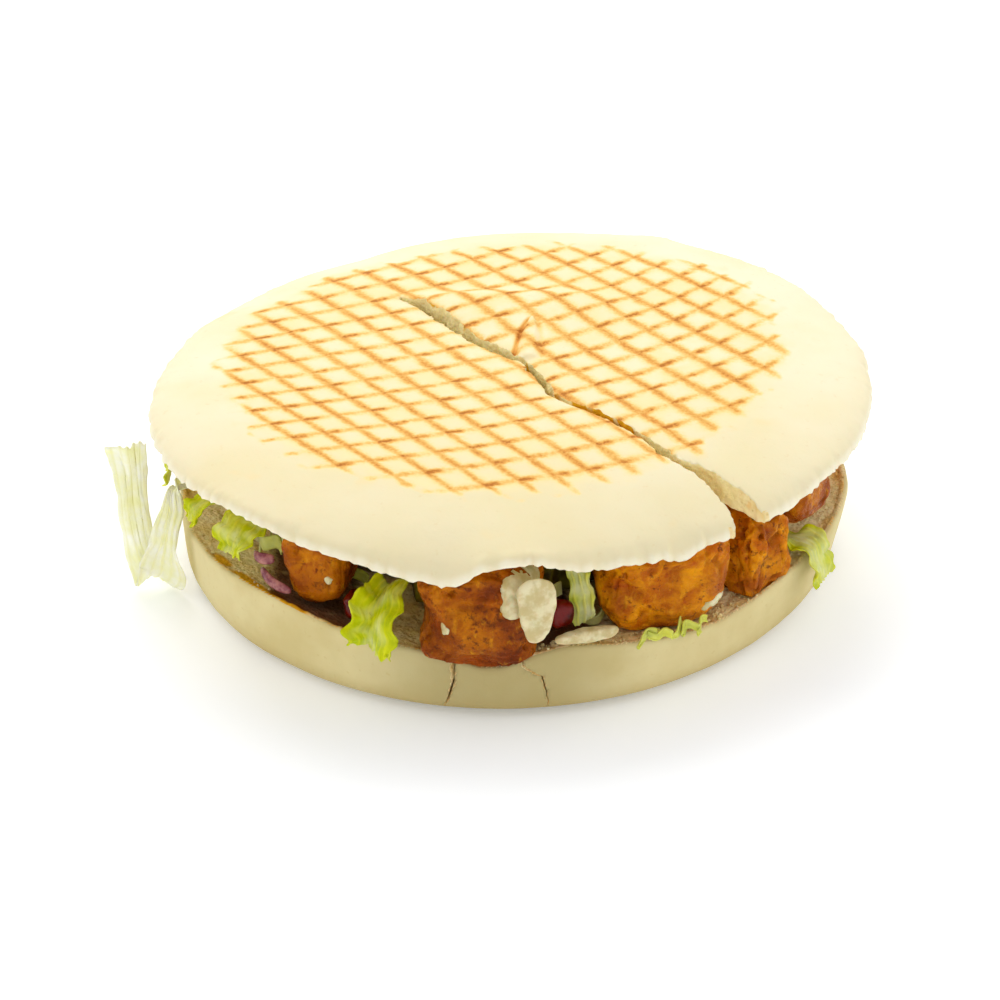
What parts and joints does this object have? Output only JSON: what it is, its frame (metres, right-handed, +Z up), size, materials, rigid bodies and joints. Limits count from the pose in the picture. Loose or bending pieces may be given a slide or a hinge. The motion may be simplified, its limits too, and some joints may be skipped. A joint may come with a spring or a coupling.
{
  "type": "grilled flatbread kebab sandwich",
  "caption": "Round toasted flatbread split and filled with spiced chicken pieces, lettuce, tomato, onion and white sauce, with crossed grill marks and a part cut across the top.",
  "frame": {"origin": "middle of the lower bread's flat underside, on the surface it rests on", "axes": "+Z up through the sandwich, -Y towards the side where the filling shows most, +X to the right seen from there"},
  "size_m": [0.2252, 0.2185, 0.0641],
  "materials": {
    "bread": "pale toasted flour crust",
    "meat": "moist spiced grilled chicken",
    "salad": "mixed dressed salad in shade",
    "lettuce": "crisp pale leaf",
    "sauce": "thick white garlic sauce",
    "tomato": "wet cut tomato",
    "onion": "cut red onion"
  },
  "bodies": {
    "root": {"bread_bottom": "bread", "bread_top": "bread", "meat_front_left": "meat", "meat_front": "meat", "meat_front_right": "meat", "meat_torn": "meat", "meat_right_high": "meat", "meat_right": "meat", "meat_right_back": "meat", "meat_back_right": "meat", "meat_back": "meat", "meat_back_left": "meat", "meat_left_back": "meat", "meat_left": "meat", "salad": "salad", "lettuce_outer_left": "lettuce", "lettuce_front": "lettuce", "lettuce_left_bright": "lettuce", "lettuce_left_pale": "lettuce", "lettuce_middle": "lettuce", "lettuce_right": "lettuce", "lettuce_back_right": "lettuce", "lettuce_back_left": "lettuce", "lettuce_left": "lettuce", "sauce_drip": "sauce", "sauce_pool": "sauce", "sauce_left": "sauce", "tomato_front_left": "tomato", "tomato_middle": "tomato", "tomato_back": "tomato", "tomato_left": "tomato", "onion_left_high": "onion", "onion_left_low": "onion", "onion_right_back": "onion", "onion_back": "onion"}
  },
  "joints": []
}
